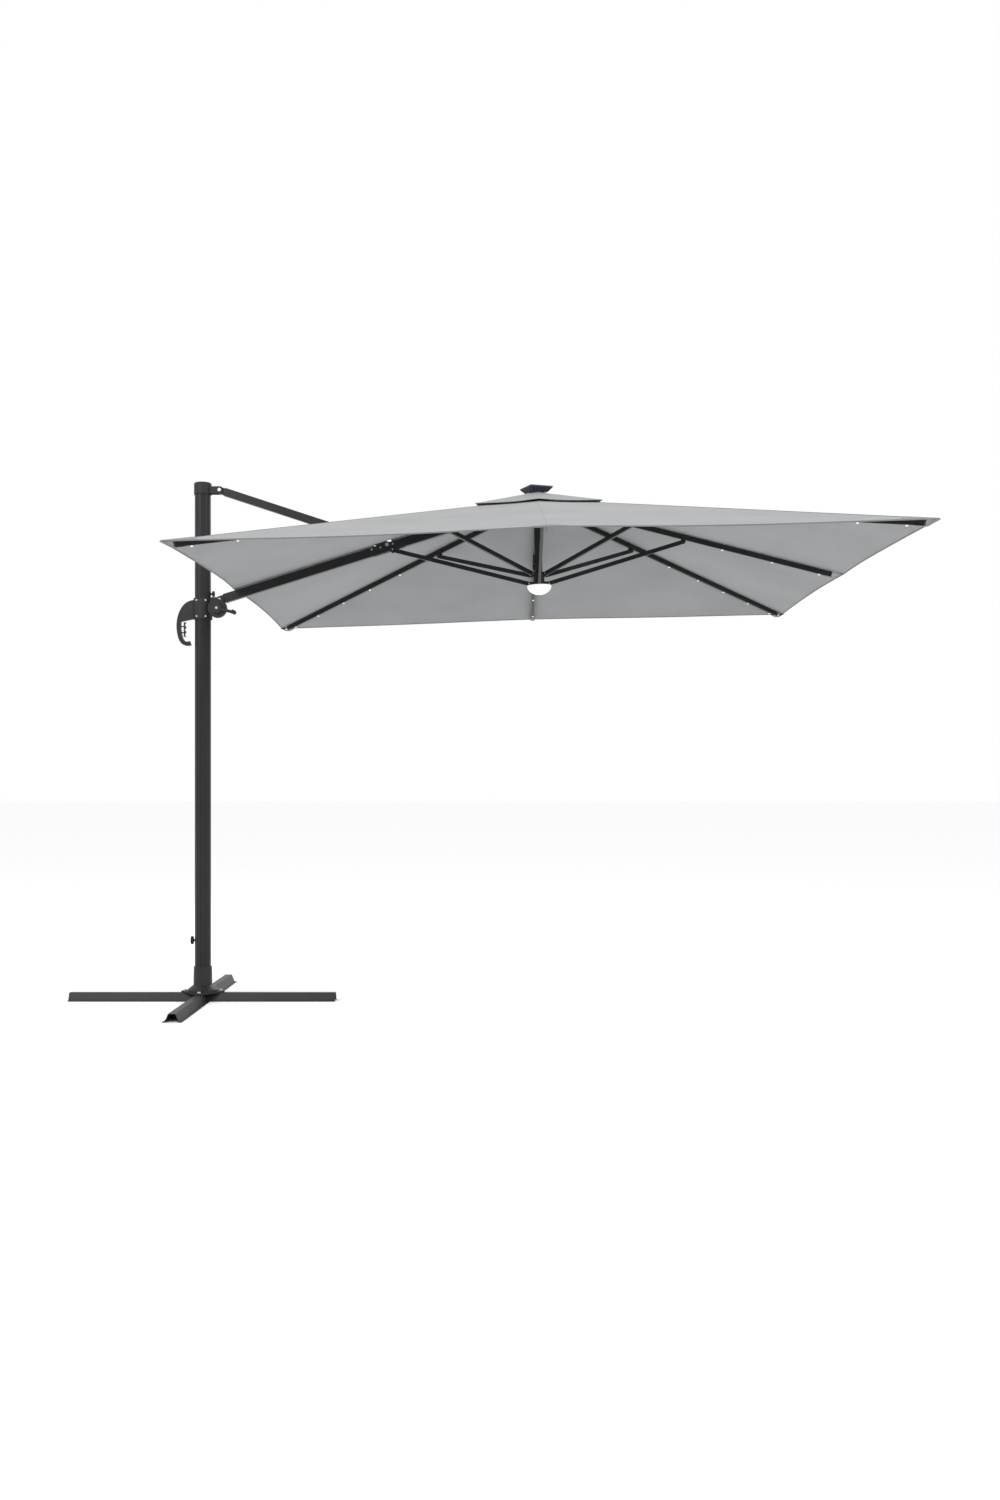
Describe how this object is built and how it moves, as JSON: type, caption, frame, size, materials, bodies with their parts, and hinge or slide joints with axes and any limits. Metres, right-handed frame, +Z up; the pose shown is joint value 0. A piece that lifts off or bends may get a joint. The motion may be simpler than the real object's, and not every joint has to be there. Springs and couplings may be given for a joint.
{
  "type": "cantilever parasol",
  "caption": "Square cantilever parasol with a side mast, a folding boom and stay, a ribbed canopy with a vent, a crank slider, a solar lamp and a cross base.",
  "frame": {"origin": "on the ground at the mast's axis", "axes": "+Z up, +X towards the canopy"},
  "size_m": [3.8049, 2.9972, 2.544],
  "materials": {
    "frame": "satin anthracite powder coat",
    "base": "textured anthracite powder coat",
    "plastic": "matt black",
    "steel": "brushed",
    "fabric": "woven mid grey",
    "solar": "glossy dark",
    "lamp": "frosted white",
    "knob": "ribbed black"
  },
  "bodies": {
    "base": {"long_leg": "base", "cross_leg_halves": "base", "base_plate": "base", "base_bolts": "steel", "mast_socket": "base"},
    "mast": {"mast_tube": "frame", "mast_cap": "plastic", "stay_pin": "steel"},
    "lock_knob": {"lock_knob": "knob"},
    "stop_knob": {"stop_knob": "knob"},
    "stay": {"stay_beam": "frame", "stay_fittings": "frame"},
    "boom": {"boom_beam": "frame", "boom_heel": "frame", "boom_tip": "frame", "boom_bracket": "frame", "boom_fasteners": "steel", "panel_boom": "fabric"},
    "slider": {"slider_collar": "plastic", "boom_pin": "steel", "gear_housing": "plastic", "slider_handle": "plastic", "slider_screws": "steel"},
    "trigger": {"handle_trigger": "plastic"},
    "crank": {"winding_spool": "plastic", "crank_shaft": "steel", "crank_lever": "plastic"},
    "grip": {"crank_grip": "knob"},
    "hub": {"hub_body": "plastic", "hub_pins": "steel", "centre_pole": "frame", "pole_cleat": "plastic", "solar_stem": "plastic", "solar_panel": "solar", "vent_cap": "fabric"},
    "runner": {"runner_body": "plastic", "runner_pins": "steel", "led_dome": "lamp"},
    "rib_right": {"rib_right": "frame", "panel_right": "fabric"},
    "strut_right": {"strut_right": "frame"},
    "rib_back_right": {"rib_back_right": "frame", "panel_back_right": "fabric"},
    "strut_back_right": {"strut_back_right": "frame"},
    "rib_back": {"rib_back": "frame", "panel_back": "fabric"},
    "strut_back": {"strut_back": "frame"},
    "rib_back_left": {"rib_back_left": "frame", "panel_back_left": "fabric"},
    "strut_back_left": {"strut_back_left": "frame"},
    "strut_boom": {"strut_boom": "frame"},
    "rib_front_left": {"rib_front_left": "frame", "panel_front_left": "fabric"},
    "strut_front_left": {"strut_front_left": "frame"},
    "rib_front": {"rib_front": "frame", "panel_front": "fabric"},
    "strut_front": {"strut_front": "frame"},
    "rib_front_right": {"rib_front_right": "frame", "panel_front_right": "fabric"},
    "strut_front_right": {"strut_front_right": "frame"}
  },
  "joints": [
    {"name": "mast_swivel", "type": "hinge", "parent": "base", "child": "mast", "pos_m": [0, 0, 0.06], "axis": [0, 0, 1], "continuous": true},
    {"name": "close", "type": "hinge", "parent": "mast", "child": "stay", "pos_m": [0.085, 0, 2.507], "axis": [0, 1, 0], "range_deg": [0, 67.5]},
    {"name": "boom_hinge", "type": "hinge", "parent": "stay", "child": "boom", "pos_m": [0.907, 0, 2.2375], "axis": [0, -1, 0], "range_deg": [0, 135], "deforming": ["panel_boom"]},
    {"name": "slider_hinge", "type": "hinge", "parent": "boom", "child": "slider", "pos_m": [0.085, 0, 1.968], "axis": [0, 1, 0], "range_deg": [0, 67.5]},
    {"name": "hub_hinge", "type": "hinge", "parent": "boom", "child": "hub", "pos_m": [1.59302, 0, 2.41857], "axis": [0, 1, 0], "range_deg": [0, 67.5], "deforming": ["vent_cap"]},
    {"name": "rib_right_hinge", "type": "hinge", "parent": "hub", "child": "rib_right", "pos_m": [1.69298, 0, 2.42143], "axis": [0, 1, 0], "range_deg": [0, 67.5], "deforming": ["panel_right"]},
    {"name": "strut_right_hinge", "type": "hinge", "parent": "rib_right", "child": "strut_right", "pos_m": [2.3626, 0, 2.25497], "axis": [0, -1, 0], "range_deg": [0, 135]},
    {"name": "rib_back_right_hinge", "type": "hinge", "parent": "hub", "child": "rib_back_right", "pos_m": [1.67705, 0.03536, 2.46599], "axis": [-0.7068, 0.7071, -0.0202], "range_deg": [0, 67.5], "deforming": ["panel_back_right"]},
    {"name": "strut_back_right_hinge", "type": "hinge", "parent": "rib_back_right", "child": "strut_back_right", "pos_m": [2.1521, 0.50529, 2.29396], "axis": [0.7068, -0.7071, 0.0202], "range_deg": [0, 135]},
    {"name": "rib_back_hinge", "type": "hinge", "parent": "hub", "child": "rib_back", "pos_m": [1.643, 0.05, 2.42], "axis": [-0.9996, 0, -0.0286], "range_deg": [0, 67.5], "deforming": ["panel_back"]},
    {"name": "strut_back_hinge", "type": "hinge", "parent": "rib_back", "child": "strut_back", "pos_m": [1.64831, 0.71458, 2.23452], "axis": [0.9996, 0, 0.0286], "range_deg": [0, 135]},
    {"name": "rib_back_left_hinge", "type": "hinge", "parent": "hub", "child": "rib_back_left", "pos_m": [1.60637, 0.03536, 2.46397], "axis": [-0.7068, -0.7071, -0.0202], "range_deg": [0, 67.5], "deforming": ["panel_back_left"]},
    {"name": "strut_back_left_hinge", "type": "hinge", "parent": "rib_back_left", "child": "strut_back_left", "pos_m": [1.14194, 0.50529, 2.26504], "axis": [0.7068, 0.7071, 0.0202], "range_deg": [0, 135]},
    {"name": "strut_boom_hinge", "type": "hinge", "parent": "boom", "child": "strut_boom", "pos_m": [0.93402, 0, 2.21407], "axis": [0, 1, 0], "range_deg": [0, 135]},
    {"name": "rib_front_left_hinge", "type": "hinge", "parent": "hub", "child": "rib_front_left", "pos_m": [1.60637, -0.03536, 2.46397], "axis": [0.7068, -0.7071, 0.0202], "range_deg": [0, 67.5], "deforming": ["panel_front_left"]},
    {"name": "strut_front_left_hinge", "type": "hinge", "parent": "rib_front_left", "child": "strut_front_left", "pos_m": [1.14194, -0.50529, 2.26504], "axis": [-0.7068, 0.7071, -0.0202], "range_deg": [0, 135]},
    {"name": "rib_front_hinge", "type": "hinge", "parent": "hub", "child": "rib_front", "pos_m": [1.643, -0.05, 2.42], "axis": [0.9996, 0, 0.0286], "range_deg": [0, 67.5], "deforming": ["panel_front"]},
    {"name": "strut_front_hinge", "type": "hinge", "parent": "rib_front", "child": "strut_front", "pos_m": [1.64831, -0.71458, 2.23452], "axis": [-0.9996, 0, -0.0286], "range_deg": [0, 135]},
    {"name": "rib_front_right_hinge", "type": "hinge", "parent": "hub", "child": "rib_front_right", "pos_m": [1.67705, -0.03536, 2.46599], "axis": [0.7068, 0.7071, 0.0202], "range_deg": [0, 67.5], "deforming": ["panel_front_right"]},
    {"name": "strut_front_right_hinge", "type": "hinge", "parent": "rib_front_right", "child": "strut_front_right", "pos_m": [2.1521, -0.50529, 2.29396], "axis": [-0.7068, -0.7071, -0.0202], "range_deg": [0, 135]},
    {"name": "runner_hinge", "type": "hinge", "parent": "strut_boom", "child": "runner", "pos_m": [1.60364, 0, 2.04761], "axis": [0, -1, 0], "range_deg": [0, 67.5]},
    {"name": "crank_turn", "type": "hinge", "parent": "slider", "child": "crank", "pos_m": [0.08, -0.05, 1.922], "axis": [0, -1, 0], "continuous": true},
    {"name": "grip_spin", "type": "hinge", "parent": "crank", "child": "grip", "pos_m": [0.168, -0.08, 1.898], "axis": [0, -1, 0], "continuous": true},
    {"name": "trigger_pull", "type": "slide", "parent": "slider", "child": "trigger", "axis": [-1, 0, 0], "range_m": [0, 0.003], "stiffness_N_per_m": 600},
    {"name": "lock_knob_turn", "type": "hinge", "parent": "mast", "child": "lock_knob", "pos_m": [-0.05, 0, 0.296], "axis": [-1, 0, 0], "range_deg": [-90, 0]},
    {"name": "stop_knob_turn", "type": "hinge", "parent": "mast", "child": "stop_knob", "pos_m": [0.05, 0, 1.998], "axis": [1, 0, 0], "range_deg": [-90, 0]}
  ],
  "couplings": [
    {"joint": "boom_hinge", "follows": "close", "ratio": 2},
    {"joint": "slider_hinge", "follows": "close", "ratio": 1},
    {"joint": "hub_hinge", "follows": "close", "ratio": 1},
    {"joint": "rib_right_hinge", "follows": "close", "ratio": 1},
    {"joint": "strut_right_hinge", "follows": "close", "ratio": 2},
    {"joint": "rib_back_right_hinge", "follows": "close", "ratio": 1},
    {"joint": "strut_back_right_hinge", "follows": "close", "ratio": 2},
    {"joint": "rib_back_hinge", "follows": "close", "ratio": 1},
    {"joint": "strut_back_hinge", "follows": "close", "ratio": 2},
    {"joint": "rib_back_left_hinge", "follows": "close", "ratio": 1},
    {"joint": "strut_back_left_hinge", "follows": "close", "ratio": 2},
    {"joint": "strut_boom_hinge", "follows": "close", "ratio": 2},
    {"joint": "rib_front_left_hinge", "follows": "close", "ratio": 1},
    {"joint": "strut_front_left_hinge", "follows": "close", "ratio": 2},
    {"joint": "rib_front_hinge", "follows": "close", "ratio": 1},
    {"joint": "strut_front_hinge", "follows": "close", "ratio": 2},
    {"joint": "rib_front_right_hinge", "follows": "close", "ratio": 1},
    {"joint": "strut_front_right_hinge", "follows": "close", "ratio": 2},
    {"joint": "runner_hinge", "follows": "close", "ratio": 1}
  ]
}
